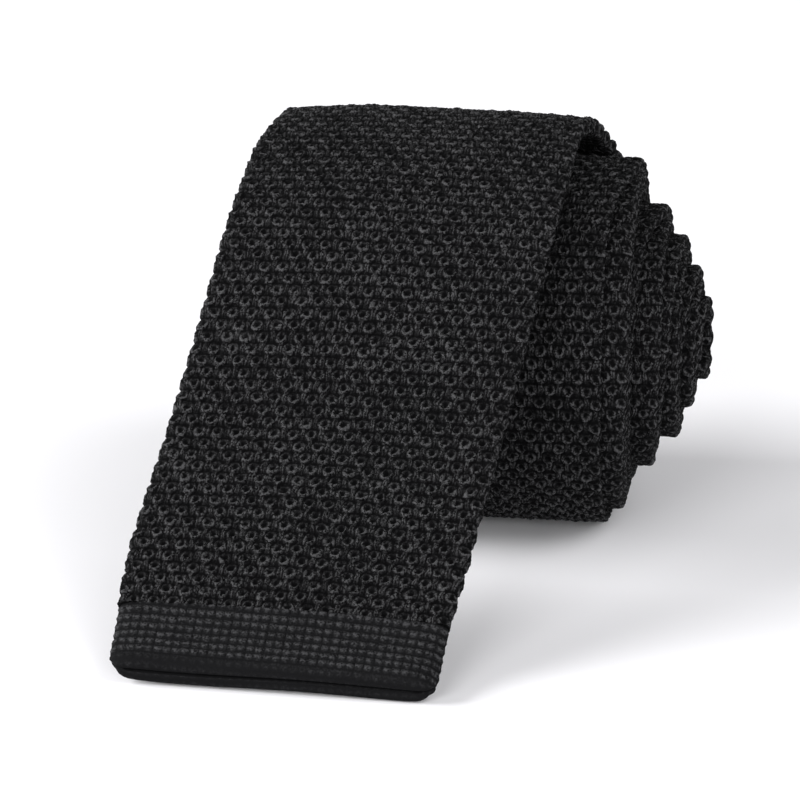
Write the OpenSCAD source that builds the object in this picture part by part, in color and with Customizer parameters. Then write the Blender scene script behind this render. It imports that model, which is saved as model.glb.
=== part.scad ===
// Knitted necktie, rolled up with its blade end laid down in front of the roll.
// The tie is one long flattened tube of knit. It is drawn as a ribbon that runs from the
// free blade end, up over the crest of the roll, round the roll and in to the tail end.
// Origin: the middle of the line on which the roll rests. +Z up, -Y towards the blade end,
// X along the axis of the roll, +X to the side the turns are pushed out to.

/* [Cloth] */
// width of the blade, the wide part that is worn in front
blade_w = 55;        // [45:1:70]
// width of the part that goes round the neck
neck_w = 38;         // [28:1:45]
// width of the narrow tail
tail_w = 48;         // [35:1:60]
// thickness of the two plies of knit where they are wound tight
wound_t = 2.25;      // [1.6:0.05:3]
// thickness of the two plies of knit where the blade hangs free
fall_t = 3.2;        // [2:0.1:5]

/* [Roll] */
// outer radius of the roll at the top of its second turn
roll_r = 31.5;       // [25:0.5:40]
// distance between one turn and the next
pitch = 2.6;         // [2.2:0.1:4]
// number of turns from the crest in to the tail end
turns = 11;          // [6:0.5:14]
// how far the first turn stands off the second one at the crest
crest_lift = 7;      // [3:0.5:14]

/* [Blade fall] */
// length of cloth from the crest to the blade end
fall_len = 119;      // [100:1:150]
// sideways drift of the blade end from the crest
fall_drift = 11;     // [0:1:25]
// length of the plain knitted band at the blade end
band_len = 13.5;     // [8:0.5:25]
// width of that band
band_w = 53.5;       // [45:0.5:70]
// thickness of one ply at the band
ply_t = 1.6;         // [1:0.1:2.5]
// gap between the two plies at the open blade end
pocket_gap = 1.9;    // [1:0.1:4]

/* [Sewn pieces] */
// length of the keeper loop across the back of the blade
keeper_l = 42;       // [30:1:50]
// width of the keeper loop along the blade
keeper_w = 9;        // [6:1:15]
// size of the blank label across and along the blade
label_size = [24, 14]; // [10:1:40]
// width of the stay tape inside the neck
tape_w = 24;         // [10:1:30]

/* [Hidden] */
clear = 0.35;                                // free space at the joint line
step_a = 10;                                 // degrees between two rings of the roll
axis_z = roll_r + pitch / 2 - 0.12;          // height of the axis of the roll
edge_c = 0.8;                                // rounding of the ribbon's edges
neck_at = 2.05;                              // turn where the neck section starts
tail_at = 4.5;                               // turn where the tail section starts
seam_l = 1.4;                                // length of a linking seam along the ribbon
tape_t = 0.3;                                // thickness of the stay tape
bore_t = 0.9;                                // clear space inside the neck tube
// [turn, how far the right edge stands out past the crest's right edge]
step_out = [[0, 0], [0.08, 2.2], [0.15, 5.4], [0.3, 6], [0.5, 6], [0.75, 7], [0.88, 6.4], [0.93, 6.9],
  [1, 9.9],
  [1.5, 8.6], [1.75, 11.3], [2, 10.2], [2.5, 9.3], [2.75, 11.4], [3, 10.3], [3.5, 10.3], [3.75, 11.5],
  [3.92, 12], [4, 15], [4.5, 13.6], [4.75, 16.2], [5, 15.4], [5.5, 13.9], [5.75, 17], [6, 18.3],
  [6.5, 18], [6.75, 18.8], [7, 18.7], [7.5, 18.1], [7.75, 19], [8, 21], [8.5, 20.1], [8.75, 21.2],
  [9, 21.4], [9.5, 20.4], [10, 22.8], [12, 23]];
// [turn, width of the ribbon]
width_at = [[0, blade_w], [1.5, blade_w], [neck_at, neck_w], [tail_at, neck_w], [5.1, tail_w], [12, tail_w]];
// [distance from the crest, slope of the ribbon in degrees below level]
fall_slope = [[0, 0], [13, 18], [26, 29], [40, 43], [53, 50], [66, 50], [79, 41], [93, 40], [106, 37],
  [119, 20]];
// [distance from the crest, turn of the ribbon in its own plane, degrees]
fall_turn = [[0, 0], [20, 0.3], [50, -0.3], [90, 0], [119, 0.8]];
fall_n = 36;                                 // rings along the blade fall
fall_ds = fall_len / fall_n;
joint_gap = 0.1;                             // gap between two pieces that follow one another
ridge = 0.1;                                 // how much thicker a linking seam is than the ribbon
tape_end = 6;                                // how far the stay tape stops short of each seam
tail_band = 0.315;                           // part of a turn taken by the tail's plain band
tail_draw = 2;                               // how much narrower that band is than the tail
rolled_t = 0.9;                              // thickness of the strip turned in at the blade end
rolled_l = 6.5;                              // length of that strip
stitch = [3, 0.5, 0.7];                      // one stitch at the blade end: across, along, high
tail_stitch = [2.4, 0.7, 1.2];               // one stitch at the tail end
tack = [1.4, 3];                             // bar tack at the blade end: across, along
keeper_t = 0.8;                              // thickness of the keeper loop
keeper_gap = 0.7;                            // space between the blade and the keeper loop
keeper_tack_size = [1.6, 0.5];               // width and thickness of the thread at its ends
label_t = 0.35;                              // thickness of the label
label_gap = 0.575;                           // space between the blade and the label
label_stitch = [2.2, 0.3];                   // width and thickness of a stitch at the label

knit_c = [0.03, 0.03, 0.035];                // black tuck knit
plain_c = [0.035, 0.035, 0.04];              // black plain knit
thread_c = [0.05, 0.05, 0.055];              // black thread
ribbon_c = [0.06, 0.06, 0.065];              // black satin ribbon
tape_c = [0.1, 0.1, 0.11];                   // dark cotton
label_c = [0.75, 0.75, 0.74];                // white satin

// ---- the line of the ribbon round the roll; u counts turns from the crest, 0 at the top, 0.5 underneath

// radius of the middle of the ribbon
function roll_mid(u) = let (r = roll_r - wound_t / 2 - pitch * (u - 1))
    u >= 0.5 ? r : roll_r + pitch / 2 - wound_t / 2 + (crest_lift - pitch / 2) * (1 + cos(360 * u)) / 2;
// thickness of the ribbon: thick where it is loose, thin where it is wound
function roll_t(u) = u >= 0.5 ? wound_t : wound_t + (fall_t - wound_t) * (1 + cos(360 * u)) / 2;
function roll_x(u) = blade_w / 2 + lookup(u, step_out) - lookup(u, width_at) / 2;
// point at side x and height n above the middle of the ribbon
function roll_pt(u, x, n) = let (r = roll_mid(u) + n)
    [roll_x(u) + x, r * sin(360 * u), max(0, axis_z + r * cos(360 * u))];
// part of a turn taken by a length d of ribbon at turn u
function part(u, d) = d / (2 * PI * roll_mid(u));
// the turns of the rings from a to b
function ring_turns(a, b) = let (half = step_a / 2, near = 0.002)
    concat([a], [for (k = [floor((a * 360 - half) / step_a) + 1 : ceil((b * 360 - half) / step_a) - 1])
        let (u = (k * step_a + half) / 360) if (u > a + near && u < b - near) u], [b]);

// ---- the line of the blade fall; s is the distance from the crest

fall_yz = [for (i = 0, y = 0, z = axis_z + roll_mid(0); i <= fall_n;
    y = y - fall_ds * cos(lookup((i + 0.5) * fall_ds, fall_slope)),
    z = z - fall_ds * sin(lookup((i + 0.5) * fall_ds, fall_slope)), i = i + 1) [y, z]];
fall_y = [for (i = [0 : fall_n]) [i * fall_ds, fall_yz[i][0]]];
fall_z = [for (i = [0 : fall_n]) [i * fall_ds, fall_yz[i][1]]];
function fall_x(s) = -fall_drift * (1 - cos(180 * pow(s / fall_len, 1.1))) / 2;
// point at distance s, side x and height n above the middle of the ribbon
function fall_pt(s, x, n) = let (a = lookup(s, fall_slope), t = lookup(s, fall_turn))
    [fall_x(s) + x * cos(t),
     lookup(s, fall_y) - x * sin(t) * cos(a) - n * sin(a),
     max(0, lookup(s, fall_z) - x * sin(t) * sin(a) + n * cos(a))];
function steps(a, b, d) = let (m = max(1, ceil((b - a) / d))) [for (i = [0 : m]) a + (b - a) * i / m];

// ---- solids

// cross section of a ribbon, w wide and t thick with eased edges, n above the middle line
function ribbon_2d(w, t, n = 0) = let (c = min(edge_c, t * 0.3), h = t / 2, e = w / 2 - c * 1.6)
    [[-w / 2, -h + c], [-e, -h], [e, -h], [w / 2, -h + c], [w / 2, h - c], [e, h], [-e, h], [-w / 2, h - c]]
    + [for (i = [0 : 7]) [0, n]];

// closed solid through a list of rings, each with the same number of points
module loft(rings) {
    m = len(rings[0]);
    k = len(rings);
    polyhedron(points = [for (r = rings) for (p = r) p], convexity = 10, faces = concat(
        [[for (j = [0 : m - 1]) j]],
        [for (i = [0 : k - 2]) for (j = [0 : m - 1]) let (a = i * m + j, b = i * m + (j + 1) % m)
            each [[a, a + m, b], [b, a + m, b + m]]],
        [[for (j = [m - 1 : -1 : 0]) (k - 1) * m + j]]));
}

// closed solid with a bore, through a list of pairs of rings: the outside one and the inside one
module sleeve(pairs) {
    m = len(pairs[0][0]);
    k = len(pairs);
    e = (k - 1) * 2 * m;
    polyhedron(points = [for (p = pairs) for (r = p) for (q = r) q], convexity = 10, faces = concat(
        [for (j = [0 : m - 1]) let (b = (j + 1) % m) each [[j, b, m + j], [b, m + b, m + j]]],
        [for (i = [0 : k - 2]) for (j = [0 : m - 1])
            let (a = i * 2 * m + j, b = i * 2 * m + (j + 1) % m, c = a + 2 * m, d = b + 2 * m)
            each [[a, c, b], [b, c, d], [a + m, b + m, c + m], [b + m, d + m, c + m]]],
        [for (j = [0 : m - 1]) let (b = (j + 1) % m)
            each [[e + j, e + m + j, e + b], [e + b, e + m + j, e + m + b]]]));
}

// ribbon round the roll from turn a to turn b
module wound(a, b, dw = 0, dt = 0, w = 0, t = 0, n = 0) {
    loft([for (u = ring_turns(a, b))
        let (wide = w > 0 ? w : lookup(u, width_at) + dw, high = t > 0 ? t : roll_t(u) + dt)
        [for (q = ribbon_2d(wide, high, n)) roll_pt(u, q[0], q[1])]]);
}

// ribbon along the blade fall from a to b
module fallen(a, b, w, t, n = 0, x = 0) {
    loft([for (s = steps(a, b, 4)) [for (q = ribbon_2d(w, t, n)) fall_pt(s, q[0] + x, q[1])]]);
}

module blade_fall() color(knit_c)
    fallen(clear / 2, fall_len - band_len - joint_gap, blade_w, fall_t);

module blade_rolled_turns() color(knit_c)
    wound(part(0, clear / 2), neck_at);

// hollow from end to end, like the rest of the tube, to take the stay tape
module neck_tube() color(knit_c)
    sleeve([for (u = ring_turns(neck_at + part(neck_at, seam_l + 2 * joint_gap), tail_at))
        [[for (q = ribbon_2d(lookup(u, width_at), roll_t(u))) roll_pt(u, q[0], q[1])],
         [for (q = ribbon_2d(tape_w + 4, bore_t)) roll_pt(u, q[0], q[1])]]]);

module neck_stay_tape() color(tape_c)
    wound(neck_at + part(neck_at, seam_l + tape_end), tail_at - part(tail_at, tape_end),
          w = tape_w, t = tape_t);

module tail_tube() color(knit_c)
    wound(tail_at + part(tail_at, seam_l + 2 * joint_gap), turns - tail_band - 0.005);

module tail_end_band() color(plain_c)
    wound(turns - tail_band, turns, dw = -tail_draw);

// one straight stitch lying across the ribbon of the roll
module wound_stitch(u, x, size) {
    translate(roll_pt(u, x, 0)) rotate([-360 * u, 0, 0]) cube(size, center = true);
}

module tail_end_stitches() color(thread_c)
    for (x = [-18 : 9 : 18]) wound_stitch(turns + 0.022, x, tail_stitch);

module linking_seam(u) {
    wound(u + part(u, joint_gap), u + part(u, seam_l + joint_gap), dt = ridge);
}

module blade_neck_seam() color(thread_c) linking_seam(neck_at);
module neck_tail_seam() color(thread_c) linking_seam(tail_at);

// one straight stitch lying across the blade fall, n above its middle
module fall_stitch(s, x, size, n) {
    translate(fall_pt(s, x, n)) rotate([lookup(s, fall_slope), 0, -lookup(s, fall_turn)])
        cube(size, center = true);
}

band_n = (pocket_gap + ply_t) / 2;

module blade_end_band() color(plain_c)
    fallen(fall_len - band_len, fall_len, band_w, ply_t, n = band_n);

module blade_end_back_ply() color(plain_c)
    fallen(fall_len - band_len, fall_len, band_w, ply_t, n = -band_n);

module blade_end_turn_in() color(plain_c)
    fallen(fall_len - rolled_l - 0.5, fall_len - 0.5, band_w - 8, rolled_t,
           n = (pocket_gap - rolled_t) / 2 - joint_gap);

module blade_end_stitches() color(thread_c)
    for (x = [-21 : 6 : 21])
        fall_stitch(fall_len - rolled_l - 1.5, x, stitch, (pocket_gap - stitch[2]) / 2 - joint_gap);

module blade_end_tack(side) {
    fall_stitch(fall_len - 2.6, side * (band_w / 2 - 1.9), concat(tack, pocket_gap - 2 * joint_gap), 0);
}

module blade_end_tack_left() color(thread_c) blade_end_tack(-1);
module blade_end_tack_right() color(thread_c) blade_end_tack(1);

// the pieces sewn to the back of the blade lie in the loose space under the crest
keeper_u = 0.07;
keeper_d = part(keeper_u, keeper_w);
keeper_n = -fall_t / 2 - keeper_gap - keeper_t / 2;
label_u = keeper_u + keeper_d + 0.02;
label_d = part(label_u, label_size[1]);

// flat pad of thread or cloth, from turn a to turn b, l wide at side x
module wound_pad(a, b, x, l, t, n) {
    loft([for (u = steps(a, b, 0.012)) [for (q = ribbon_2d(l, t, n)) roll_pt(u, q[0] + x, q[1])]]);
}

module keeper_loop() color(ribbon_c)
    wound(keeper_u, keeper_u + keeper_d, w = keeper_l, t = keeper_t, n = keeper_n);

// fills the space between the blade and the loop near one end of the loop
module keeper_tack(side) {
    wound_pad(keeper_u + keeper_d * 0.15, keeper_u + keeper_d * 0.85, side * (keeper_l / 2 - 2.2),
              keeper_tack_size[0], keeper_tack_size[1], -fall_t / 2 - 0.4);
}

module keeper_tack_left() color(thread_c) keeper_tack(-1);
module keeper_tack_right() color(thread_c) keeper_tack(1);

module care_label() color(label_c)
    wound_pad(label_u, label_u + label_d, 0, label_size[0], label_t, -fall_t / 2 - label_gap - label_t / 2);

module label_stitches() color(thread_c)
    for (x = [-8 : 4 : 8]) wound_pad(label_u + 0.004, label_u + 0.009, x, label_stitch[0], label_stitch[1],
                                     -fall_t / 2 - 0.36);

blade_fall();
blade_rolled_turns();
neck_tube();
tail_tube();
blade_end_band();
blade_end_back_ply();
blade_end_turn_in();
blade_end_stitches();
blade_end_tack_left();
blade_end_tack_right();
tail_end_band();
tail_end_stitches();
neck_stay_tape();
blade_neck_seam();
neck_tail_seam();
keeper_loop();
keeper_tack_left();
keeper_tack_right();
care_label();
label_stitches();
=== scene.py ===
# %% [markdown]
# # A knitted tie, rolled up
# The tie is one long flattened tube of black knit with a square end. It is rolled from the
# narrow tail outwards, the turns are pushed out to one side like a cone, and the wide blade
# is laid down over the front of the roll. Every piece is worked out in millimetres along the
# one ribbon that the tie is, and becomes metres when its mesh is made. The first cell loads
# the design's solids, which the finished pieces stand in for.

# %% Load the design
import math

import bpy
import numpy as np
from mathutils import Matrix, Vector


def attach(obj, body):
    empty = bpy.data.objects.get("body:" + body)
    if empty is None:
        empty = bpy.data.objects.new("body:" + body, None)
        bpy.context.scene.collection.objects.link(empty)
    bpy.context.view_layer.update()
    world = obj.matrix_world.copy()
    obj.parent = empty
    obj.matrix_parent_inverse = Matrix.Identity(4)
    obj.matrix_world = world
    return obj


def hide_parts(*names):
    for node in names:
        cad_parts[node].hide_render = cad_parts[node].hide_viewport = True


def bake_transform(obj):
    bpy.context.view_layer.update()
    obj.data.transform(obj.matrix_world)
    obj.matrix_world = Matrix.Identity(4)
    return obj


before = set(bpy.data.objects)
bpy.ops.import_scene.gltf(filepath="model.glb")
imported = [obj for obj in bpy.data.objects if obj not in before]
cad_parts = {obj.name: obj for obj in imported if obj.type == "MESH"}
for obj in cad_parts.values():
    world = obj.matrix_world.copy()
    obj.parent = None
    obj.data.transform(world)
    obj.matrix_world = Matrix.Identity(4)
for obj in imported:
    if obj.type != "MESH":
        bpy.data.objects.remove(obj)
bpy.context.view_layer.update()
MM = 0.001
print("nodes of the design:", len(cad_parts))

# %% [markdown]
# ## The cloth and its stitches
# The body is a tuck knit: little rings of yarn in rows, each row shifted by half a ring. The
# blade end is a plain band of small bumps on a square grid. Stitches keep one size all along a
# real tie, so their sizes are driving values here, and the pieces are built out of them.

# %% Sizes of the cloth, in millimetres
BLADE_W, NECK_W, TAIL_W = 55.0, 38.0, 48.0   # width of the flattened tube
WOUND_T, FALL_T = 2.25, 3.2                  # thickness where wound tight, and where loose
SWELL = 0.27                                 # wound cloth swells by this until the turns touch
EDGE = 1.25                                  # radius of the selvedges
CELL, ROW = 3.14, 2.17                       # one ring across, one row of rings along
RING_X, RING_Y = 0.72, 0.80                  # half width and half height of the middle of a ring
BUMP_W, BUMP_L = 1.5, 1.8                    # one bump of the plain band
BAND, BAND_W = 13.5, 53.5                    # plain band at the blade end
FALL = 119.0                                 # cloth from the crest down to the blade end
print(f"{2 * BLADE_W / CELL:.0f} columns of stitches across the blade")

# %% [markdown]
# ## How the tie is rolled and laid down
# A spiral and a ramp would be enough for a machine-made roll, but cloth rolled by hand never
# lines up: each turn is pushed out a little differently, and the blade sags and leans. Short
# tables of places and values say so, and the values between are read along straight lines.

# %% Turns of the roll, and the way down the front
TURNS, PITCH, ROLL_R = 11.0, 2.6, 31.5       # number of turns, growth of one turn, radius
LIFT, SQUASH = 7.0, 0.12                     # rise of the loose crest, and cloth pressed flat below
NECK_AT, TAIL_AT = 2.05, 4.5                 # turns where the neck and the tail begin
AXIS_Z = ROLL_R + PITCH / 2 - SQUASH

# turns from the crest, and how far the right selvedge is pushed out there
STEP_OUT = np.array([
    [0, 0], [0.08, 2.2], [0.15, 5.4], [0.3, 6], [0.5, 6], [0.75, 7], [0.88, 6.4], [0.93, 6.9],
    [1, 9.9], [1.5, 8.6], [1.75, 11.3], [2, 10.2], [2.5, 9.3], [2.75, 11.4], [3, 10.3],
    [3.5, 10.3], [3.75, 11.5], [3.92, 12], [4, 15], [4.5, 13.6], [4.75, 16.2], [5, 15.4],
    [5.5, 13.9], [5.75, 17], [6, 18.3], [6.5, 18], [6.75, 18.8], [7, 18.7], [7.5, 18.1],
    [7.75, 19], [8, 21], [8.5, 20.1], [8.75, 21.2], [9, 21.4], [9.5, 20.4], [10, 22.8], [12, 23]])
# turns from the crest, and the width of the tube there
WIDTH_AT = np.array([[0, 53.4], [0.1, BLADE_W], [1.5, BLADE_W], [NECK_AT, NECK_W],
                     [TAIL_AT, NECK_W], [5.1, TAIL_W], [12, TAIL_W]])
# distance down from the crest, and there the slope in degrees, the lean of the rows in degrees,
# and the width
SLOPE = np.array([[0, 0], [13, 18], [26, 29], [40, 43], [53, 50], [66, 50], [79, 41], [93, 40],
                  [106, 37], [119, 20]])
LEAN = np.array([[0, 0], [20, 0.3], [50, -0.3], [90, 0.3], [119, 1.6]])
FALL_WIDTH = np.array([[0, 53.4], [14, BLADE_W], [94, BLADE_W], [105.5, BAND_W + 0.1],
                       [119, BAND_W]])
print(f"middle of the roll at {AXIS_Z:.2f} mm")


# %% Reading and smoothing a table
def along(table, at):
    """Value of a two-column table at those places."""
    return np.interp(at, table[:, 0], table[:, 1])


def soften(values, reach, step):
    """Values smoothed over a reach either side, the ends kept."""
    n = int(3 * reach / step)
    kernel = np.exp(-0.5 * (np.arange(-n, n + 1) * step / reach) ** 2)
    before = 2 * values[0] - values[n:0:-1]
    after = 2 * values[-1] - values[-2:-n - 2:-1]
    return np.convolve(np.concatenate([before, values, after]), kernel / kernel.sum(), "valid")


print(f"slope of the blade end: {along(SLOPE, FALL):.0f} degrees")

# %% [markdown]
# ## The line of the ribbon
# One line runs from the blade end, up the fall, over the crest, and round and round into the
# middle of the roll. It could be a curve with a cloth strip bent along it by a modifier, but
# that stretches the stitches. Here each place on the cloth is a distance along the line, a
# distance across and a height, so a stitch keeps its size wherever the tie bends.

# %% The way down the front
FINE = 0.25                                  # spacing of the places on the line
DRIFT = 11.0                                 # the blade end lies this far to the left


def roll_mid(u):
    """Radius of the middle of the cloth after u turns from the crest."""
    wound = ROLL_R - WOUND_T / 2 - PITCH * (u - 1)
    rise = (LIFT - PITCH / 2) * (1 + np.cos(2 * np.pi * u)) / 2
    loose = ROLL_R + PITCH / 2 - WOUND_T / 2 + rise
    return np.where(u >= 0.5, wound, loose)


down = np.arange(0, FALL + FINE, FINE)
slope = np.radians(along(SLOPE, down[:-1] + FINE / 2))
crest_z = AXIS_Z + float(roll_mid(np.array(0.0)))
fall_y = -np.concatenate([[0], np.cumsum(np.cos(slope) * FINE)])
fall_z = crest_z - np.concatenate([[0], np.cumsum(np.sin(slope) * FINE)])
draw_in = np.where(down < FALL / 2, BLADE_W - along(FALL_WIDTH, down), 0) / 2
fall_x = draw_in - DRIFT * (1 - np.cos(np.pi * np.clip(down / FALL, 0, 1) ** 1.1)) / 2
print(f"crest at {crest_z:.1f} mm, blade end {-fall_y[-1]:.1f} mm in front of it")

# %% The turns, joined to the way down
turn = np.linspace(0, TURNS, 8000)[1:]
roll_y = roll_mid(turn) * np.sin(2 * np.pi * turn)
roll_z = AXIS_Z + roll_mid(turn) * np.cos(2 * np.pi * turn)
roll_x = BLADE_W / 2 + along(STEP_OUT, turn) - along(WIDTH_AT, turn) / 2

raw = np.stack([np.concatenate([fall[::-1], roll]) for fall, roll in
                ((fall_x, roll_x), (fall_y, roll_y), (fall_z, roll_z))], 1)
raw_s = np.concatenate([[0], np.cumsum(np.hypot(np.diff(raw[:, 1]), np.diff(raw[:, 2])))])
raw_u = np.concatenate([-down[::-1] / 1000, turn])     # turns, a little under 0 on the way down
LENGTH = raw_s[-1]

S = np.arange(0, LENGTH, FINE)
U = np.interp(S, raw_s, raw_u)
line = np.stack([soften(np.interp(S, raw_s, raw[:, axis]), reach, FINE)
                 for axis, reach in enumerate((4.0, 1.2, 1.2))], 1)
tangent = np.gradient(line[:, 1:], FINE, axis=0)
tangent /= np.linalg.norm(tangent, axis=1)[:, None]
print(f"the tie is {LENGTH / 1000:.2f} m long, {FALL:.0f} mm of it in front of the crest")

# %% Thickness, width and lean along it
fall_lean = np.interp(FALL - S, LEAN[:, 0], LEAN[:, 1]) * (S < FALL)
lean = soften(np.radians(fall_lean), 8.0, FINE)
behind_crest = WOUND_T + (FALL_T - WOUND_T) * (1 + np.cos(2 * np.pi * U)) / 2
thick = np.where(U <= 0, FALL_T, np.where(U >= 0.5, WOUND_T, behind_crest))
thick = SWELL * np.clip(4 * U - 3, 0, 1) + thick
width = np.where(U <= 0, along(FALL_WIDTH, FALL - S), along(WIDTH_AT, U))


def s_of(u):
    """Distance from the blade end after u turns."""
    return float(np.interp(u, U, S))


def place(s, x, n):
    """Points at distance s along, x across and n above the middle of the cloth."""
    at = lambda values: np.interp(s, S, values)
    ty, tz, t = at(tangent[:, 0]), at(tangent[:, 1]), at(lean)
    on_floor = 0.05
    return np.stack([at(line[:, 0]) + x * np.cos(t),
                     at(line[:, 1]) - x * np.sin(t) * ty - n * tz,
                     np.maximum(at(line[:, 2]) - x * np.sin(t) * tz + n * ty, on_floor)], -1)


print(f"thickness {thick.min():.2f} to {thick.max():.2f} mm, width {width.min():.0f} to {width.max():.0f} mm")


# %% [markdown]
# ## The relief of the knit
# Each ring stands proud of a dark little hole, its lower arc fuller than its upper one, with a
# pair of short upright loops between one ring and the next. Real yarn could be swept along
# every loop, but eleven turns of it would be millions of faces. A height worked out for each
# place on the cloth gives the same shadows and holes with far fewer.

# %% Height of the tuck knit
def chance(a, b, k):
    """A number from 0 to 1 that belongs to one stitch."""
    return np.modf(np.abs(np.sin(a * 12.9898 + b * 78.233 + k * 37.719) * 43758.5453))[0]


def rings(w, s):
    """Height of the tuck knit, 0 in the holes and about 1 on the yarn, w across and s along."""
    row = np.floor(s / ROW)
    shifted = w / CELL + 0.5 * np.mod(row, 2)
    col = np.floor(shifted)
    row_mid = (s / ROW - row - 0.5) * ROW
    fx = (shifted - col - 0.5) * CELL + 0.16 * (chance(col, row, 1) - 0.5)
    fy = row_mid + 0.16 * (chance(col, row, 2) - 0.5)
    rho = np.hypot(fx / RING_X, fy / RING_Y)
    low = np.clip(-fy / RING_Y, -1, 1)
    ring = np.exp(-((rho - 1) / 0.42) ** 2) * (0.74 + 0.26 * low) * (0.8 + 0.35 * chance(col, row, 3))
    upright = np.exp(-((np.abs(np.abs(fx) - CELL / 2) - 0.2) / 0.2) ** 2)
    loops = upright * np.clip(1.3 - np.abs(fy - 0.2) / 0.9, 0, 0.75)
    keep = np.clip((ROW / 2 - np.abs(row_mid)) / 0.22, 0, 1)
    return np.maximum(ring, loops) * (0.88 + 0.12 * keep)


print(f"a ring stands {float(rings(CELL / 2, ROW / 2 - RING_Y)):.2f} high at its lower arc")


# %% Height of the plain band
def bumps(w, s):
    """Height of the plain band, w across and s along."""
    row, col = np.floor(s / BUMP_L), np.floor(w / BUMP_W)
    fx, fy = w / BUMP_W - col - 0.5, s / BUMP_L - row - 0.5
    across = np.clip(1 - (np.abs(fx) / 0.5) ** 4, 0, 1)
    lengthwise = np.clip(1 - (np.abs(fy) / 0.42) ** 2.2, 0, 1)
    return np.sqrt(across * lengthwise) * (0.8 + 0.3 * chance(col, row, 4))


print(f"{BAND / BUMP_L:.1f} rows of bumps in the plain band")


# %% Unevenness of loose cloth
def billow(x, s):
    """Slow unevenness of hand-rolled cloth, in millimetres."""
    return (0.16 * np.sin(s / 9.1 + x / 17) + 0.12 * np.sin(s / 5.3 - x / 8.3 + 1.1)
            + 0.10 * np.sin(x / 5.1 + s / 31 + 0.4))


def crown(x, s, half):
    """How far the loose cloth stands up in the middle: not at its flat end, nor where it is wound."""
    loose = np.clip(1.2 - 3 * np.interp(s, S, U), 0, 1)
    uneven = billow(x, s) * np.clip((s - 4) / 20, 0, 1)
    return loose * (uneven - 0.8 * (x / half) ** 2 * np.clip(s / BAND, 0, 1))


print(f"cloth over the crest: {float(crown(0.0, FALL, BLADE_W / 2)):.2f} mm off its even line")


# %% [markdown]
# ## A stretch of tube
# A ring of points is laid round the flattened tube at every fraction of a row of stitches, and
# the relief is raised out of it. A cylinder with a displacement modifier would spread its
# points evenly, so half of them would lie where turns cover each other. Here the points are
# fine where the knit is seen and coarse where it is covered, and the selvedges swell and
# shrink once every two rows, which scallops them as on the real cloth.

# %% Points round the tube
def across_points(half, edge, fine_from, step, coarse, edge_n):
    """Places round a flattened tube: across, and angle round its edges, 0 on top and pi below."""
    flat = half - edge
    left = max(-flat, min(fine_from, flat))
    fine_n = max(2, int(round((flat - left) / step)) + 1)
    top = np.concatenate([np.arange(-flat, left, coarse), np.linspace(left, flat, fine_n)])
    bend = np.linspace(0, math.pi, edge_n + 2)[1:-1]
    under = np.linspace(flat, -flat, max(3, int(round(2 * flat / coarse)) + 1))
    x = np.concatenate([top, np.full(edge_n, flat), under, np.full(edge_n, -flat)])
    angle = np.concatenate([np.zeros(len(top)), bend, np.full(len(under), math.pi), math.pi + bend])
    return x, angle


def round_tube(x, angle, flat):
    """Distance round the tube from the right selvedge, which sets the columns of stitches."""
    tiny = 1e-9
    quarter = math.pi / 2 * EDGE
    top = -(flat - x) - quarter
    right = (angle / math.pi * 2 - 1) * quarter
    below = (flat - x) + quarter
    left = 2 * flat + quarter * (1 + 2 * (angle / math.pi - 1))
    return np.where(angle <= tiny, top, np.where(angle < math.pi - tiny, right,
                                                 np.where(angle <= math.pi + tiny, below, left)))


print("points round the blade:", len(across_points(BLADE_W / 2, EDGE, -BLADE_W, 0.3, 0.75, 9)[0]))


# %% A mesh from rings of points
def shade(mesh, rows, per_ring, faces):
    """Smooth faces all along, with flat caps and a sharp edge round each cap."""
    smooth = np.ones(faces, bool)
    smooth[-2:] = False
    mesh.polygons.foreach_set("use_smooth", smooth)
    on_end = np.zeros(rows * per_ring, bool)
    on_end[:per_ring] = on_end[-per_ring:] = True
    ends = np.empty(len(mesh.edges) * 2, np.int32)
    mesh.edges.foreach_get("vertices", ends)
    ends = ends.reshape(-1, 2)
    sharp = mesh.attributes.new("sharp_edge", "BOOLEAN", "EDGE")
    sharp.data.foreach_set("value", on_end[ends[:, 0]] & on_end[ends[:, 1]])


def close_mesh(name, points, uv_u, uv_v):
    """Mesh object from rows of rings of points, closed round and capped at both ends."""
    m, k, _ = points.shape
    i, j = np.meshgrid(np.arange(m - 1), np.arange(k), indexing="ij")
    j2 = (j + 1) % k
    quads = np.stack([i * k + j, i * k + j2, (i + 1) * k + j2, (i + 1) * k + j], -1).reshape(-1, 4)
    loops = np.concatenate([quads.reshape(-1), np.arange(k)[::-1], (m - 1) * k + np.arange(k)])
    sizes = np.concatenate([np.full(len(quads), 4), [k, k]]).astype(np.int32)
    starts = np.concatenate([[0], np.cumsum(sizes)[:-1]])

    mesh = bpy.data.meshes.new(name)
    mesh.vertices.add(m * k)
    mesh.vertices.foreach_set("co", (points.reshape(-1) * MM).astype(np.float32))
    mesh.loops.add(len(loops))
    mesh.loops.foreach_set("vertex_index", loops.astype(np.int32))
    mesh.polygons.add(len(sizes))
    mesh.polygons.foreach_set("loop_start", starts.astype(np.int32))
    mesh.polygons.foreach_set("loop_total", sizes)

    uv = np.zeros((len(loops), 2), np.float32)
    for axis, values in enumerate((uv_u, uv_v)):
        on = np.concatenate([values, 2 * values[:, -1:] - values[:, -2:-1]], 1)
        corners = np.stack([on[i, j], on[i, j + 1], on[i + 1, j + 1], on[i + 1, j]], -1).reshape(-1)
        uv[:len(corners), axis] = corners
    mesh.update(calc_edges=True)
    mesh.uv_layers.new(name="knit").data.foreach_set("uv", uv.reshape(-1))
    shade(mesh, m, k, len(sizes))
    mesh.validate()
    piece = bpy.data.objects.new(name, mesh)
    bpy.context.collection.objects.link(piece)
    print(f"{name}: {len(mesh.polygons)} faces")
    return piece


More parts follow.
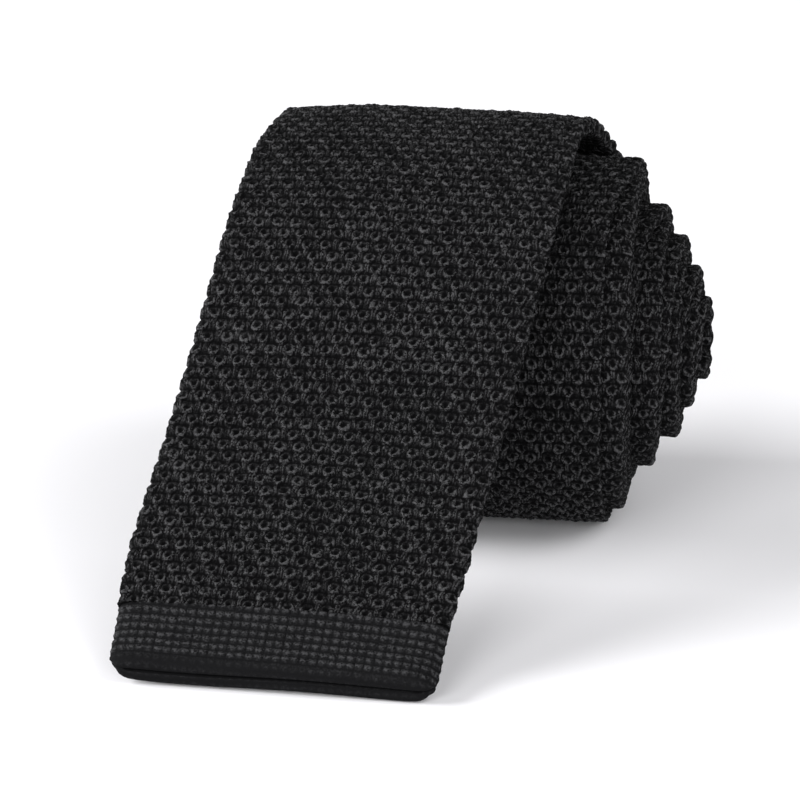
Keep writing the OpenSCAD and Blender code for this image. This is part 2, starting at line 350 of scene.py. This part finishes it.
# %% Knit laid on the line
def knit_tube(name, s0, s1, per_row=8, fine_from=-BLADE_W, step=0.3, coarse=0.75, out=0.7,
              inside=0.25, narrow=0.0, pattern=rings):
    """A stretch of the tie between two distances along it.

    The points are fine on the outer face from fine_from to the right selvedge. out and inside
    are how far the relief stands on each face, and narrow is taken off the width.
    """
    n_rows = max(2, int(round((s1 - s0) / (ROW / per_row))) + 1)
    s = np.linspace(s0, s1, n_rows)[:, None]
    half = np.interp(s, S, width) / 2 - narrow / 2
    t = np.interp(s, S, thick)
    edge = np.minimum(EDGE, t / 2)
    flat = half - edge
    x0, angle = across_points(half.max(), EDGE, fine_from, step, coarse, 9)
    x0, angle = x0[None, :], angle[None, :]

    # where the tube narrows, its fine right-hand part keeps its distance from the selvedge
    widest = half.max() - EDGE
    x = x0 * flat / widest
    if fine_from > 0:
        near_right = np.clip(x0 / fine_from, 0, 1)
        x = x * (1 - near_right) + (flat - (widest - x0)) * near_right

    sin_a, cos_a = np.sin(angle), np.cos(angle)
    w = round_tube(x, angle, flat)
    seen = np.clip((x - (fine_from - 1.5)) / 1.5, 0, 1)
    face = np.where(cos_a > 0, out * cos_a * seen, -inside * cos_a)
    face = face + np.abs(sin_a) * 0.35 * (out + inside)
    rise = pattern(w, s + 0 * x) * face
    base = np.maximum(t / 2 - out * 0.75 * (cos_a > 0) - inside * 0.75 * (cos_a < 0), 0.3)

    scallop = np.zeros_like(s)
    if pattern is rings:
        scallop = 0.5 * np.cos(np.pi * s / ROW) * np.clip((s - BAND) / 4, 0, 1)
    near_edge = np.clip(1 - (half - np.abs(x)) / 4.0, 0, 1) ** 2
    across = x + sin_a * (edge + rise) + np.sign(x) * scallop * near_edge
    points = place(s + 0 * x, across, cos_a * (base + rise) + crown(x, s, half))
    unit_w, unit_s = (CELL, ROW) if pattern is rings else (BUMP_W, BUMP_L)
    return close_mesh(name, points, w / unit_w, (s + 0 * w) / unit_s)


# %% [markdown]
# ## The blade in front, the crest and the first turn
# The free blade is the part everyone sees, so it has the finest points. It is one piece down to
# the plain band, and the crest is a piece of its own. The cloth behind the crest is wound tight
# and stays still, so it is a piece of its own from there on.

# %% Blade, crest and first turn
behind, one_turn = s_of(0.3), s_of(1.12)
fall = knit_tube("blade_fall_knit", BAND, FALL)
crest = knit_tube("blade_crest_knit", FALL, behind)
first_turn = knit_tube("blade_first_turn", behind, one_turn)

# %% [markdown]
# ## The turns inside
# Each inner turn shows only a strip beside its right selvedge, where the turns step out. The
# same stretch of tube is used with fine points on that strip and a lower relief. The whole
# ribbon is still there, because the roll is seen from both sides and has an open eye.

# %% Inner turn, neck and tail
SEAM = 1.6                                   # a seam takes this much of the ribbon
seam_1, seam_2, tail_stop = s_of(NECK_AT), s_of(TAIL_AT), s_of(TURNS - 0.32)
covered = {"per_row": 6, "coarse": 1.6, "out": 0.26, "inside": 0.08}
hidden_turn = knit_tube("blade_inner_turn", one_turn, seam_1, fine_from=18.0, **covered)
neck = knit_tube("neck_knit", seam_1 + SEAM, seam_2, fine_from=11.0, **covered)
tail = knit_tube("tail_knit", seam_2 + SEAM, tail_stop, fine_from=15.0, **covered)

# %% [markdown]
# ## The square end of the blade
# The end is knitted plain and left open like a flat pocket. The front ply is rolled under, so
# it shows a plump lip, and the back ply comes a little further forward below it. Both close
# to each other at the selvedges, and the back ply has well-rounded corners. A closed tube
# could not show the dark slot between the plies, so each ply is a sheet folded over its edge.


# %% Shape of the end
def end_height(s):
    """How far the outer face of each ply stands off the middle of the tube."""
    k = np.clip((BAND - s) / BAND, 0, 1)
    return 1.7 + 0.8 * k * k * (3 - 2 * k)


def corner(x, half, radius):
    """How far a rounded corner holds the edge back."""
    over = np.clip((np.abs(x) - (half - radius)) / radius, 0, 0.999)
    return radius * (1 - np.sqrt(1 - over ** 2))


print(f"the pocket is {2 * float(end_height(0.0)):.1f} mm thick at its mouth")


# %% The two plies
def end_ply(name, side, tip, ply, lip, radius):
    """One ply of the blade end. tip is where its edge is, lip the radius of the rolled edge."""
    half = BAND_W / 2
    x = np.linspace(-half + 0.03, half - 0.03, 340)[:, None]
    close = np.sqrt(1 - (np.abs(x) / half) ** 14)
    fold = tip + corner(x, half, radius) + lip         # where the edge starts to roll under
    bend = np.linspace(0, math.pi, 12)[None, 1:-1]
    outer = BAND + (fold - BAND) * np.linspace(0, 1, 92)[None, :]
    rolled = fold - lip * np.sin(bend)
    inner = fold + (BAND - fold) * np.linspace(0, 1, 16)[None, :]
    n_outer, n_rolled = outer.shape[1], rolled.shape[1]
    on_roll = slice(n_outer, n_outer + n_rolled)

    s = np.concatenate([outer, rolled, inner], 1)
    inner_n = end_height(inner) - np.where(inner < fold + 0.6, 2 * lip, ply)
    rolled_n = end_height(fold) - lip + lip * np.cos(bend)
    n = np.concatenate([end_height(outer), rolled_n, np.maximum(inner_n, 0.08)], 1) * close

    # distance over the cloth itself, round the rolled edge and back inside, with rows that lean
    after_roll = fold - lip * math.pi - (inner - fold)
    cloth_s = np.concatenate([outer, fold - lip * bend, after_roll], 1) + 0.03 * x
    w = x + 0 * s
    relief = bumps(w, cloth_s) * 0.42 * np.clip((cloth_s - 0.9) / 1.4, 0.05, 1)
    relief[:, on_roll.stop:] = 0
    pull = np.zeros_like(s)
    pull[:, on_roll] = np.sin(bend) * relief[:, on_roll]
    outwards = np.where(np.arange(s.shape[1]) < n_outer + n_rolled // 2, 1, -1)[None, :]

    draw = np.clip((BAND - s) / BAND, 0, 1)            # 0 at the knit, 1 at the mouth
    near_edge = np.clip((np.abs(x) - half + 2) / 2, 0, 1) * np.sign(x)
    ripple = 0.16 * np.cos(2 * np.pi * s / BUMP_L) * near_edge
    wave = 0.18 * np.sin(x / 6.5 + 0.7) * draw
    across = x * (1 - 0.018 * draw) + ripple + 0.6 * draw
    off = side * (n + relief * outwards * close - 0.3 * close) + wave + crown(x, s, half)
    points = place(s - pull, across, off)
    turned = slice(None, None, -1 if side < 0 else 1)  # keeps the faces pointing outwards
    return close_mesh(name, points[turned], w[turned] / BUMP_W, cloth_s[turned] / BUMP_L)


front_ply = end_ply("blade_end_front_ply", 1, tip=0.0, ply=1.5, lip=1.32, radius=2.6)
back_ply = end_ply("blade_end_back_ply_knit", -1, tip=-0.9, ply=1.6, lip=0.9, radius=4.6)

# %% [markdown]
# ## Strips, stitches and tacks
# The rest of a tie is narrow strips and sewing thread. A strip is a thin closed slab with
# rounded edges. Thread is a small tube drawn through a list of places on the cloth. A curve
# with a bevel would do as well, but places on the cloth's own line keep each stitch on it.


# %% A strip of ribbon or cloth
def strip(name, s0, s1, half, n0, t, across=60, lengthwise=12, bulge=0.0):
    """A flat strip on the line of the tie, n0 off its middle and t thick, with eased edges."""
    s = np.linspace(s0, s1, lengthwise)[:, None]
    x = np.linspace(-half, half, across)[None, :]
    side_ease = np.clip((half - np.abs(x)) / t, 0, 1)
    end_ease = np.clip(np.minimum(s - s0, s1 - s) / t, 0, 1)
    h = t / 2 * np.sqrt(1 - (1 - side_ease) ** 2 * 0.96)
    h = h * (0.45 + 0.55 * np.sqrt(1 - (1 - end_ease) ** 2))
    swell = bulge * np.cos(np.pi * x / (2 * half))
    rib = 0.04 * np.cos(x * 2 * np.pi / 1.1)
    x_all = np.concatenate([x, x[:, ::-1]], 1)
    n_all = np.concatenate([n0 + swell + h + rib * t, (n0 + swell - h)[:, ::-1]], 1)
    return close_mesh(name, place(s + 0 * x_all, x_all + 0 * s, n_all), x_all + 0 * s, s + 0 * x_all)


turn_in = strip("blade_end_turned_strip", 1.9, 7.4, BAND_W / 2 - 4.5, 0.28, 0.5)


# %% Sewing thread
def thread_tube(at, radius, sides, base):
    """Points and faces of one thread through places in millimetres, numbered from base."""
    d = np.gradient(at, axis=0)
    d /= np.linalg.norm(d, axis=1)[:, None]
    ref = np.where(np.abs(d[:, [0]]) < 0.9, [[1.0, 0, 0]], [[0, 0, 1.0]])
    a = np.cross(d, ref)
    a /= np.linalg.norm(a, axis=1)[:, None]
    b = np.cross(d, a)
    n = len(at)
    fat = radius * np.sqrt(np.clip(1 - np.linspace(-1, 1, n) ** 10, 0.15, 1))
    angles = [2 * math.pi * q / sides for q in range(sides)]
    verts = [tuple((at[i] + fat[i] * (math.cos(g) * a[i] + math.sin(g) * b[i])) * MM)
             for i in range(n) for g in angles]
    faces = []
    for i in range(n - 1):
        low, high = base + i * sides, base + (i + 1) * sides
        for q in range(sides):
            r = (q + 1) % sides
            faces.append((low + q, low + r, high + r, high + q))
    faces.append(tuple(base + q for q in range(sides))[::-1])
    faces.append(tuple(base + (n - 1) * sides + q for q in range(sides)))
    return verts, faces


def sewn(name, paths, radius, sides=6):
    """Sewing thread drawn through lists of places (s, x, n), as one piece."""
    verts, faces = [], []
    for path in paths:
        at = place(path[:, 0], path[:, 1], path[:, 2])
        more_verts, more_faces = thread_tube(at, radius, sides, len(verts))
        verts += more_verts
        faces += more_faces
    mesh = bpy.data.meshes.new(name)
    mesh.from_pydata(verts, [], faces)
    mesh.polygons.foreach_set("use_smooth", [True] * len(faces))
    mesh.update()
    piece = bpy.data.objects.new(name, mesh)
    bpy.context.collection.objects.link(piece)
    print(f"{name}: {len(paths)} lengths of thread")
    return piece


# %% Stitches and tacks of the blade end
def stitch(s, x, n, half, high, slant=0.0):
    """One stitch across the tie, half its length either side of x, rising by high."""
    k = np.linspace(0, 1, 7)
    return np.stack([s + slant * k, x - half + 2 * half * k, n + high * np.sin(np.pi * k)], 1)


def bar_tack(s, x, n, length, across, turns=7):
    """Thread wound over and over a short bar."""
    k = np.linspace(0, 1, turns * 10)
    a = 2 * np.pi * turns * k
    return np.stack([s + length * (k - 0.5), x + across / 2 * np.cos(a), n + across / 2 * np.sin(a)], 1)


end_stitches = sewn("blade_end_stitching",
                    [stitch(7.7, x, 0.3, 1.3, 0.25, slant=0.2) for x in range(-21, 22, 6)], 0.16)
tack_x = BAND_W / 2 - 2.2
tack_left = sewn("blade_end_left_tack", [bar_tack(2.8, -tack_x, -0.35, 2.4, 0.9)], 0.14)
tack_right = sewn("blade_end_right_tack", [bar_tack(2.8, tack_x, -0.35, 2.4, 0.9)], 0.14)

# %% [markdown]
# ## The tail end, the seams and the stay tape
# The tail ends like the blade, in a short plain band, in the very middle of the roll. The
# neck part is linked to the blade and to the tail by a ridge of loops. A woven tape lies
# inside the neck and keeps it from stretching. Little of this shows, but a tie is made so.

# %% Tail end
tail_end = knit_tube("tail_end_plain_band", s_of(TURNS - 0.315), LENGTH - 0.6, per_row=6,
                     fine_from=15.0, coarse=1.2, out=0.2, inside=0.06, narrow=2.0, pattern=bumps)
tail_stitches = sewn("tail_end_stitching",
                     [stitch(LENGTH - 0.42, x, 0.2, 1.2, 0.4) for x in range(-18, 19, 9)], 0.15)

# %% Seams and tape
ridge = {"step": 0.4, "out": 0.3, "inside": 0.1, "pattern": bumps}
blade_seam = knit_tube("blade_to_neck_seam", seam_1 + 0.1, seam_1 + 1.5, **ridge)
tail_seam = knit_tube("neck_to_tail_seam", seam_2 + 0.1, seam_2 + 1.5, **ridge)
tape = strip("neck_woven_tape", seam_1 + 6, seam_2 - 6, 12.0, 0.0, 0.3, across=16, lengthwise=260)

# %% [markdown]
# ## The pieces sewn to the back of the blade
# Under the loose crest there is a satin keeper loop, which holds the tail when the tie is worn,
# and a blank care label. Each is caught down with black thread. They lie on the inner face of
# the cloth, so they are strips on the same line, a little below its middle.

# %% Keeper and label
back_face = -FALL_T / 2
keep_s, keep_l, keep_x = s_of(0.07), 9, 18.8
keeper = strip("satin_keeper_loop", keep_s, keep_s + keep_l, 21.0, back_face - 1.15, 0.7, bulge=-0.15)
keeper_left, keeper_right = (
    sewn(name, [bar_tack(keep_s + keep_l / 2, x, back_face - 0.45, 5.5, 0.5, 9)], 0.1)
    for name, x in (("keeper_left_tack", -keep_x), ("keeper_right_tack", keep_x)))
label_s = keep_s + keep_l + s_of(0.12) - s_of(0.1)
label = strip("blank_care_label", label_s, label_s + 14, 12.0, back_face - 0.75, 0.3)
label_thread = sewn("care_label_stitching",
                    [stitch(label_s + 1.2, x, back_face - 0.5, 1.2, 0.15) for x in range(-8, 9, 4)], 0.12)

# %% [markdown]
# ## Maths nodes in short
# A material that follows stitches is a long sum, and a sum of maths nodes is easier to read as
# a few named lines. This helper adds a node and joins what is given to its sockets. The knit's
# own UV map counts rings across and rows along, so a pattern made from it bends with the cloth.


# %% Helper for materials
class Wiring:
    """Shorthand for a material made of maths nodes."""

    def __init__(self, name):
        self.material = bpy.data.materials.new(name)
        self.material.use_nodes = True
        self.tree = self.material.node_tree
        self.shader = self.tree.nodes["Principled BSDF"]

    def feed(self, socket, value):
        """Join a socket to another, or set its value."""
        if isinstance(value, bpy.types.NodeSocket):
            self.tree.links.new(value, socket)
        else:
            socket.default_value = value

    def put(self, node, **inputs):
        """A new node with its inputs fed."""
        made = self.tree.nodes.new(node)
        for key, value in inputs.items():
            self.feed(made.inputs[key], value)
        return made

    def calc(self, operation, *values, clamp=False):
        """One maths node."""
        made = self.tree.nodes.new("ShaderNodeMath")
        made.operation, made.use_clamp = operation, clamp
        for socket, value in zip(made.inputs, values):
            self.feed(socket, value)
        return made.outputs[0]

    def times(self, first, *others):
        """The product of two or more values."""
        for other in others:
            first = self.calc("MULTIPLY", first, other)
        return first

    def bell(self, value, centre, reach):
        """1 at the centre, falling to 0 about two reaches away."""
        off = self.calc("DIVIDE", self.calc("SUBTRACT", value, centre), reach)
        return self.calc("POWER", 2.718, self.times(off, off, -1.0))

    def part_of_cell(self, value, cell, middle):
        """How far a value is past the middle of its cell, in cells."""
        return self.calc("SUBTRACT", self.calc("SUBTRACT", value, cell), middle)

    def knit_uv(self):
        """Rings across and rows along, from the piece's own UV map."""
        uv = self.tree.nodes.new("ShaderNodeUVMap")
        uv.uv_map = "knit"
        parts = self.put("ShaderNodeSeparateXYZ", Vector=uv.outputs[0])
        return parts.outputs[0], parts.outputs[1]

    def object_noise(self, scale, detail):
        """Noise from 0 to 1 that is fixed to the piece."""
        at = self.tree.nodes.new("ShaderNodeTexCoord").outputs["Object"]
        return self.put("ShaderNodeTexNoise", Vector=at, Scale=scale, Detail=detail).outputs[0]

    def one_stitch(self, col, row):
        """A number from 0 to 1 for each stitch."""
        at = self.put("ShaderNodeCombineXYZ", X=col, Y=row).outputs[0]
        return self.put("ShaderNodeTexWhiteNoise", Vector=at).outputs[0]

    def two_tone(self, tone, dark, light):
        """Base colour between a dark and a light one."""
        mix = self.tree.nodes.new("ShaderNodeMix")
        mix.data_type = "RGBA"
        for socket, value in zip((0, 6, 7), (tone, dark, light)):
            self.feed(mix.inputs[socket], value)
        self.feed(self.shader.inputs["Base Color"], mix.outputs[2])

    def relief(self, height, strength, depth):
        """Fine relief on the surface, with its depth in metres."""
        bump = self.put("ShaderNodeBump", Strength=strength, Distance=depth, Height=height)
        self.feed(self.shader.inputs["Normal"], bump.outputs[0])


print("helper ready: nodes are added one calculation at a time")


# %% [markdown]
# ## Black yarn
# The yarn is smooth filament, dyed black, with a soft gleam. Light sinks into the holes of the
# knit, so the little rings show as faint bright arcs on near black. A plain black with sheen
# would lose them at this scale, so the colour paints shade into the holes and highlights and
# glints onto the yarn. The colour, the roughness and the finest relief are worked out from the
# same rows and columns as the mesh, and broken up by the strands of the yarn.

# %% Finish of the yarn
def finish_yarn(w, height, dark, light, rough, depth):
    """Colour with painted shade in the holes and painted highlights and glints, gleam and fine relief from
    the height of the yarn.
    """
    strands = w.object_noise(2900.0, 3.0)
    patches = w.object_noise(70.0, 2.0)
    strands_and_glints = w.calc("MULTIPLY_ADD", strands, 8.0, -3.05)
    uneven = w.calc("ADD", 0.6, w.times(patches, 0.8))
    # the tone paints highlights on the yarn and glints from its strands; the dark colour is painted shade
    tone = w.calc("MULTIPLY", height, w.times(strands_and_glints, uneven), clamp=True)
    in_the_holes = 0.85
    w.two_tone(tone, dark, light)
    w.feed(w.shader.inputs["Roughness"],
           w.calc("MULTIPLY_ADD", tone, rough - in_the_holes, in_the_holes, clamp=True))
    w.shader.inputs["Specular IOR Level"].default_value = 0.05
    w.relief(w.calc("ADD", height, w.times(strands, 0.45)), 1.0, depth)
    return w.material


# %% Yarn of the tuck knit
def ring_yarn():
    """Black yarn of the rings, from the rows and columns of the tuck knit."""
    w = Wiring("black_tuck_knit_yarn")
    u, v = w.knit_uv()
    row = w.calc("FLOOR", v)
    shifted = w.calc("ADD", u, w.times(w.calc("FLOORED_MODULO", row, 2.0), 0.5))
    col = w.calc("FLOOR", shifted)
    pick, other = w.one_stitch(col, row), w.one_stitch(row, col)

    # no two stitches lie quite alike: each is moved, and its yarn wanders
    wander, stray = w.object_noise(900.0, 1.0), w.object_noise(1300.0, 1.0)
    fx = w.times(w.part_of_cell(shifted, col, w.calc("MULTIPLY_ADD", pick, 0.08, 0.46)), CELL)
    fy = w.times(w.part_of_cell(v, row, w.calc("MULTIPLY_ADD", other, 0.1, 0.45)), ROW)
    fx = w.calc("ADD", fx, w.calc("MULTIPLY_ADD", wander, 0.9, -0.45))
    fy = w.calc("ADD", fy, w.calc("MULTIPLY_ADD", stray, 0.9, -0.45))
    ex, ey = w.calc("DIVIDE", fx, RING_X), w.calc("DIVIDE", fy, RING_Y)
    rho = w.calc("SQRT", w.calc("ADD", w.times(ex, ex), w.times(ey, ey)))

    # the lower arc is the fuller one, and it gets the brighter painted highlight, most at its two ends
    low = w.calc("MULTIPLY_ADD", ey, -0.45, 0.54, clamp=True)
    lobes = w.calc("MULTIPLY_ADD", w.calc("ABSOLUTE", ex), 0.55, 0.55)
    tilt = w.calc("MULTIPLY_ADD", w.times(ex, w.calc("SUBTRACT", other, 0.5)), 0.7, 1.0)
    ring = w.times(w.bell(rho, 1.0, 0.32), w.times(low, w.times(lobes, tilt)))
    ring = w.times(ring, w.calc("MULTIPLY_ADD", pick, 1.0, 0.7))

    # the two short loops stand between one ring and the next
    side = w.calc("ABSOLUTE", w.calc("SUBTRACT", w.calc("ABSOLUTE", fx), CELL / 2))
    bright = w.calc("MULTIPLY_ADD", other, 0.6, 0.25)
    loops = w.times(w.bell(side, 0.2, 0.16), w.times(w.bell(fy, 0.3, 0.85), bright))
    height = w.calc("MAXIMUM", ring, loops, clamp=True)
    # dark is painted shade in the holes, light a painted highlight on the yarn
    return finish_yarn(w, height, dark=(0.0012, 0.0012, 0.0014, 1), light=(0.055, 0.055, 0.057, 1),
                       rough=0.4, depth=0.0003)


ring_knit = ring_yarn()
print("nodes in the tuck knit yarn:", len(ring_knit.node_tree.nodes))


# %% Yarn of the plain band
def plain_yarn():
    """Black yarn of the plain band, from its rows and columns of bumps."""
    w = Wiring("black_plain_knit_yarn")
    u, v = w.knit_uv()
    col, row = w.calc("FLOOR", u), w.calc("FLOOR", v)
    pick, other = w.one_stitch(col, row), w.one_stitch(row, col)
    wander = w.object_noise(1100.0, 1.0)
    fx = w.part_of_cell(u, col, w.calc("MULTIPLY_ADD", wander, 0.3, 0.35))
    fy = w.part_of_cell(v, row, w.calc("MULTIPLY_ADD", pick, 0.14, 0.43))
    # each bump is a short arc, lower in its middle
    sag = w.calc("ADD", fy, w.calc("MULTIPLY_ADD", w.times(fx, fx), -0.9, 0.1))
    dome = w.times(w.bell(fx, 0.0, 0.44), w.bell(sag, 0.0, 0.25))
    # the rolled edge is stretched smooth, so it takes little painted highlight
    smooth_l = 1.4
    rolled = w.calc("MULTIPLY_ADD", v, BUMP_L / smooth_l, -1.0 / smooth_l, clamp=True)
    dome = w.times(dome, w.calc("MULTIPLY_ADD", rolled, 0.85, 0.15))
    height = w.calc("MULTIPLY", dome, w.calc("MULTIPLY_ADD", other, 0.6, 0.6), clamp=True)
    # dark is painted shade between the bumps, light a painted highlight on their tops
    return finish_yarn(w, height, dark=(0.005, 0.005, 0.0055, 1), light=(0.037, 0.037, 0.039, 1),
                       rough=0.45, depth=0.0002)


plain_knit = plain_yarn()
print("nodes in the plain yarn:", len(plain_knit.node_tree.nodes))

# %% [markdown]
# ## Thread, ribbon, tape and label
# Sewing thread is twisted, the keeper is glossy satin ribbon, the stay tape is dull woven
# cotton, and the blank label is white satin. All of them are woven or twisted finely, so one
# recipe does: a grid of tiny crossings with some fuzz, in its own colour, pitch and gloss.


# %% A fine weave
def woven(name, colour, rough, pitch, gloss):
    """A fine weave on object coordinates, its pitch in millimetres."""
    w = Wiring(name)
    at = w.tree.nodes.new("ShaderNodeTexCoord").outputs["Object"]
    xyz = w.put("ShaderNodeSeparateXYZ", Vector=at)
    k = 2 * math.pi / (pitch * MM)
    warp = w.calc("SINE", w.times(xyz.outputs[0], k))
    weft = w.calc("SINE", w.times(w.calc("ADD", xyz.outputs[1], xyz.outputs[2]), k))
    weave = w.calc("ADD", 0.5, w.times(warp, weft, 0.5))
    fuzz = w.object_noise(1800.0, 3.0)
    tone = w.calc("ADD", w.times(weave, 0.35), w.times(fuzz, 0.5), clamp=True)
    w.two_tone(tone, tuple(c * 0.6 for c in colour) + (1,), tuple(colour) + (1,))
    w.feed(w.shader.inputs["Roughness"], w.calc("ADD", rough, w.times(fuzz, 0.2), clamp=True))
    w.shader.inputs["Specular IOR Level"].default_value = gloss
    w.relief(weave, 0.6, 0.00004)
    return w.material


thread = woven("black_sewing_thread", (0.02, 0.02, 0.022), rough=0.4, pitch=0.25, gloss=0.35)
satin = woven("black_satin_ribbon", (0.022, 0.022, 0.025), rough=0.25, pitch=0.3, gloss=0.5)
cotton = woven("dark_cotton_tape", (0.11, 0.11, 0.11), rough=0.75, pitch=0.5, gloss=0.2)
label_satin = woven("white_label_satin", (0.78, 0.78, 0.75), rough=0.35, pitch=0.3, gloss=0.45)
print("woven finishes:", [finish.name for finish in (thread, satin, cotton, label_satin)])

# %% [markdown]
# ## What each piece is made of, and what it rides on
# Pieces behind the crest stay with the roll, and pieces at the blade end lift with it. On the
# real tie the knit bends between them. A piece cut in two there would open like a lid, so the
# blade and the crest ride on neither and stay where they are made.

# %% Materials
tied = (end_stitches, tack_left, tack_right, tail_stitches, keeper_left, keeper_right, label_thread)
made_of = [(ring_knit, "blade_knit", (fall, crest, first_turn, hidden_turn, neck, tail)),
           (plain_knit, "plain_knit", (front_ply, back_ply, turn_in, tail_end)),
           (plain_knit, "thread", (blade_seam, tail_seam)),
           (thread, "thread", tied),
           (satin, "ribbon", (keeper,)),
           (cotton, "stay_cotton", (tape,)),
           (label_satin, "label_satin", (label,))]
for material, slot, things in made_of:
    for thing in things:
        thing.data.materials.append(material)
print("pieces with a finish:", sum(len(things) for _, _, things in made_of))

# %% Bodies
for thing in (first_turn, hidden_turn, neck, tail, tail_end, tail_stitches, blade_seam, tail_seam, tape,
              keeper, keeper_left, keeper_right, label, label_thread):
    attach(thing, "roll")
for thing in (front_ply, back_ply, turn_in, end_stitches, tack_left, tack_right):
    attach(thing, "blade_end")
for thing in (fall, crest):
    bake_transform(thing)

# %% Nodes of the design that the pieces stand for are hidden
stands_for = {"blade_fall": (fall,), "blade_rolled_turns": (crest, first_turn, hidden_turn),
              "neck_tube": (neck,), "tail_tube": (tail,),
              "blade_end_band": (front_ply,), "blade_end_back_ply": (back_ply,),
              "blade_end_turn_in": (turn_in,), "blade_end_stitches": (end_stitches,),
              "blade_end_tack_left": (tack_left,), "blade_end_tack_right": (tack_right,),
              "tail_end_band": (tail_end,), "tail_end_stitches": (tail_stitches,),
              "neck_stay_tape": (tape,), "blade_neck_seam": (blade_seam,), "neck_tail_seam": (tail_seam,),
              "keeper_loop": (keeper,), "keeper_tack_left": (keeper_left,),
              "keeper_tack_right": (keeper_right,),
              "care_label": (label,), "label_stitches": (label_thread,)}
for node, things in stands_for.items():
    for thing in things:
        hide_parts(node)
print("nodes stood for:", len(stands_for))

# %% [markdown]
# ## The cloth's own sizes
# Each stretch of tube is printed with the width of the flattened tube and its length, because
# that is what a knitter would need to make it. The lengths come from the line of the ribbon.


# %% Flat sizes
def cloth(thing, w, length):
    """Print a sheet's flat size in millimetres."""
    print(f"{thing.name}: {w:.0f} x {length:.1f} mm")


cloth(fall, BLADE_W, FALL - BAND)
cloth(crest, BLADE_W, behind - FALL)
cloth(first_turn, BLADE_W, one_turn - behind)
cloth(hidden_turn, 50.0, seam_1 - one_turn)
cloth(neck, NECK_W, seam_2 - seam_1 - SEAM)
cloth(tail, 47.0, tail_stop - seam_2 - SEAM)
cloth(tape, 24.0, seam_2 - seam_1 - 12)

# %% [markdown]
# ## Floor and background
# A very large matt floor and a dim even background are enough for a studio. The floor is a
# plane, because it is not part of the object.

# %% Floor and background
bpy.context.scene.view_settings.view_transform = "Standard"
bpy.ops.mesh.primitive_plane_add(size=6, location=(0, 0, 0))
floor = bpy.context.object
floor.name = "floor"
paper = bpy.data.materials.new("pale_floor")
paper.use_nodes = True
paper_shader = paper.node_tree.nodes["Principled BSDF"]
paper_shader.inputs["Base Color"].default_value = (0.93, 0.925, 0.95, 1)
paper_shader.inputs["Roughness"].default_value = 1.0
paper_shader.inputs["Specular IOR Level"].default_value = 0.0
floor.data.materials.append(paper)

world = bpy.context.scene.world or bpy.data.worlds.new("studio")
bpy.context.scene.world = world
world.use_nodes = True
background = world.node_tree.nodes["Background"]
background.inputs["Color"].default_value = (1, 1, 1, 1)
background.inputs["Strength"].default_value = 0.2
print("floor", tuple(round(d, 1) for d in floor.dimensions), "m")

# %% [markdown]
# ## Lights
# Four wide soft lights stand well away from the tie, the strongest from the left, so that each
# turn throws a soft shadow on the next one. One bright lamp would burn out the gleam of the
# yarn and leave hard black steps, and an even dome would leave no steps at all.


# %% Soft lights
def soft_light(name, at, size, power):
    """A square area light turned to the middle of the scene, in metres and watts."""
    light = bpy.data.lights.new(name, "AREA")
    light.shape = "RECTANGLE"
    light.size, light.size_y, light.energy = size, size, power
    lamp = bpy.data.objects.new(name, light)
    bpy.context.collection.objects.link(lamp)
    lamp.location = at
    lamp.rotation_mode = "QUATERNION"
    lamp.rotation_quaternion = (-Vector(at)).to_track_quat("-Z", "Y")


soft_light("light_left", (-2.2, -0.5, 1.2), 1.4, 82)
soft_light("light_front", (-0.8, -2.6, 1.3), 1.4, 40)
soft_light("light_low_front", (0.9, -2.2, 0.7), 1.2, 29)
soft_light("light_right", (1.7, -0.6, 1.8), 1.6, 26)
print("lights:", len(bpy.data.lights))

# %% [markdown]
# ## Camera
# A long lens from a little above and to the right keeps the blade's sides nearly straight. The
# camera is placed by its angles and its distance, which are easier to think about than its
# place, and then slid a little so that the whole tie sits well in the frame.

# %% Camera
elevation, azimuth, distance = math.radians(17.8), math.radians(8.8), 0.706
aim = Vector((0, 0, 0.035))
slide_left, slide_down = 0.0044, 0.0149
forward = Vector((-math.sin(azimuth) * math.cos(elevation),
                  math.cos(azimuth) * math.cos(elevation),
                  -math.sin(elevation)))
rightward = Vector((math.cos(azimuth), math.sin(azimuth), 0))
upward = rightward.cross(forward)
camera_data = bpy.data.cameras.new("camera")
camera_data.lens, camera_data.sensor_width, camera_data.clip_end = 180, 36, 20
camera = bpy.data.objects.new("camera", camera_data)
bpy.context.collection.objects.link(camera)
camera.location = aim - rightward * slide_left - upward * slide_down - forward * distance
camera.rotation_mode = "QUATERNION"
camera.rotation_quaternion = forward.to_track_quat("-Z", "Y")
bpy.context.scene.camera = camera
print("camera at", tuple(round(c, 3) for c in camera.location))
